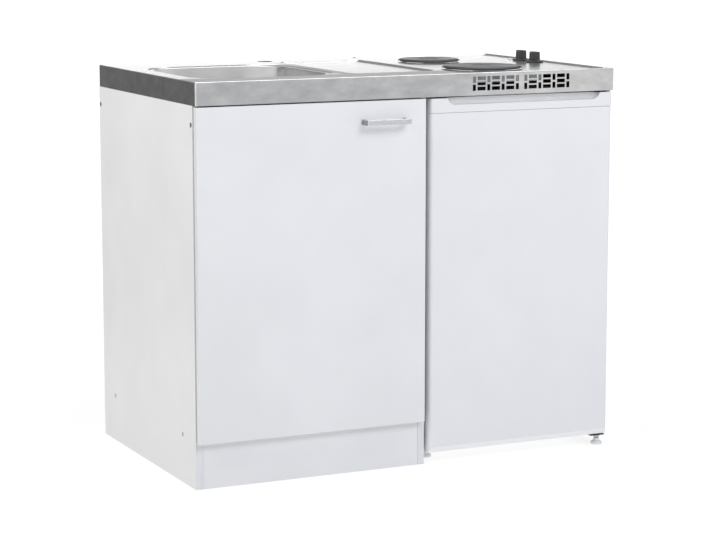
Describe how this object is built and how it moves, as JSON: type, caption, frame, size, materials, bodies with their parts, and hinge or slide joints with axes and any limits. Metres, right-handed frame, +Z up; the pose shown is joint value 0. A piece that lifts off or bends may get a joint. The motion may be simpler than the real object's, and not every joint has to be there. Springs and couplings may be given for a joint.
{
  "type": "kitchenette unit",
  "caption": "Free-standing kitchenette: sink base cabinet and under-counter refrigerator below a shared pressed steel worktop with bowl, draining field and electric hot plates.",
  "frame": {"origin": "floor level, centred under the overall box, which includes the door handle", "axes": "+X to the right along the front, +Y back to the wall, +Z up"},
  "size_m": [1, 0.63, 0.8813],
  "materials": {
    "white_board": "chipboard faced with smooth white melamine foil",
    "zinc_steel": "zinc-plated pressed steel",
    "handle_aluminium": "satin anodised",
    "stainless_sheet": "linen-rolled stainless sheet, matt",
    "stainless_small": "polished stainless",
    "pine_batten": "planed softwood, darkened",
    "white_plastic": "moulded, white",
    "cast_iron": "cast, blackened",
    "black_plastic": "moulded, black",
    "lamp_lens": "clear lens over a neon lamp, unlit",
    "white_enamel": "white stove enamel on sheet steel",
    "trim_plastic": "moulded, white",
    "freezer_aluminium": "roll-bonded aluminium, natural",
    "shelf_glass": "toughened glass, ground edges",
    "clear_plastic": "clear moulded plastic",
    "black_paint": "black dip paint",
    "gasket_rubber": "soft light-grey magnetic seal",
    "foot_nylon": "white nylon pad on a screw"
  },
  "bodies": {
    "kitchenette": {"side_panel_left": "white_board", "side_panel_right": "white_board", "floor_panel": "white_board", "plinth_panel": "white_board", "top_rail_front": "white_board", "top_rail_rear": "white_board", "screw_rail_front": "zinc_steel", "screw_rail_rear": "zinc_steel", "screw_floor_front": "zinc_steel", "screw_floor_rear": "zinc_steel", "hinge_arm_upper": "zinc_steel", "hinge_arm_lower": "zinc_steel", "worktop_sheet": "stainless_sheet", "worktop_frame": "pine_batten", "waste_flange": "stainless_small", "waste_body": "white_plastic", "hot_plate_front": "cast_iron", "hot_plate_rear": "cast_iron", "plate_collar_front": "stainless_small", "plate_collar_rear": "stainless_small", "plate_clamp_front": "zinc_steel", "plate_clamp_rear": "zinc_steel", "hob_tray": "zinc_steel", "switch_front": "white_plastic", "switch_rear": "white_plastic", "pilot_lamp": "lamp_lens", "terminal_box": "black_plastic", "fridge_cabinet": "white_enamel", "fridge_liner": "white_plastic", "freezer_box": "freezer_aluminium", "shelf_upper": "shelf_glass", "shelf_lower": "shelf_glass", "crisper_drawer": "clear_plastic", "compressor": "black_paint", "condenser": "black_paint", "hinge_bracket_top": "black_paint", "hinge_bracket_bottom": "black_paint", "foot_front_left": "foot_nylon", "foot_front_right": "foot_nylon", "foot_rear_left": "foot_nylon", "foot_rear_right": "foot_nylon"},
    "sink_door": {"sink_door_panel": "white_board", "sink_door_handle": "handle_aluminium", "hinge_cup_upper": "zinc_steel", "hinge_cup_lower": "zinc_steel"},
    "fridge_door": {"fridge_door_panel": "white_enamel", "fridge_door_trim": "trim_plastic", "fridge_door_liner": "white_plastic", "door_gasket": "gasket_rubber", "door_rack_upper": "clear_plastic", "door_rack_lower": "clear_plastic"},
    "knob_front": {"knob_front": "black_plastic", "spindle_front": "zinc_steel"},
    "knob_rear": {"knob_rear": "black_plastic", "spindle_rear": "zinc_steel"},
    "freezer_flap": {"freezer_flap": "white_plastic"},
    "thermostat_knob": {"thermostat_knob": "white_plastic"},
    "sink_strainer": {"sink_strainer": "stainless_small"}
  },
  "joints": [
    {"name": "sink_door_swing", "type": "hinge", "parent": "kitchenette", "child": "sink_door", "pos_m": [-0.493, -0.278, 0.454], "axis": [0, 0, -1], "range_deg": [0, 110]},
    {"name": "fridge_door_swing", "type": "hinge", "parent": "kitchenette", "child": "fridge_door", "pos_m": [0.4855, -0.267, 0.417], "axis": [0, 0, 1], "range_deg": [0, 120]},
    {"name": "knob_front_turn", "type": "hinge", "parent": "kitchenette", "child": "knob_front", "pos_m": [0.462, 0.005, 0.87], "axis": [0, 0, -1], "range_deg": [0, 309]},
    {"name": "knob_rear_turn", "type": "hinge", "parent": "kitchenette", "child": "knob_rear", "pos_m": [0.462, 0.069, 0.87], "axis": [0, 0, -1], "range_deg": [0, 309]},
    {"name": "freezer_flap_swing", "type": "hinge", "parent": "kitchenette", "child": "freezer_flap", "pos_m": [0.27, -0.08775, 0.76025], "axis": [-1, 0, 0], "range_deg": [0, 85]},
    {"name": "thermostat_turn", "type": "hinge", "parent": "kitchenette", "child": "thermostat_knob", "pos_m": [0.44, -0.065, 0.5], "axis": [-1, 0, 0], "range_deg": [0, 270]},
    {"name": "strainer_lift", "type": "slide", "parent": "kitchenette", "child": "sink_strainer", "axis": [0, 0, 1], "range_m": [0, 0.06]}
  ]
}
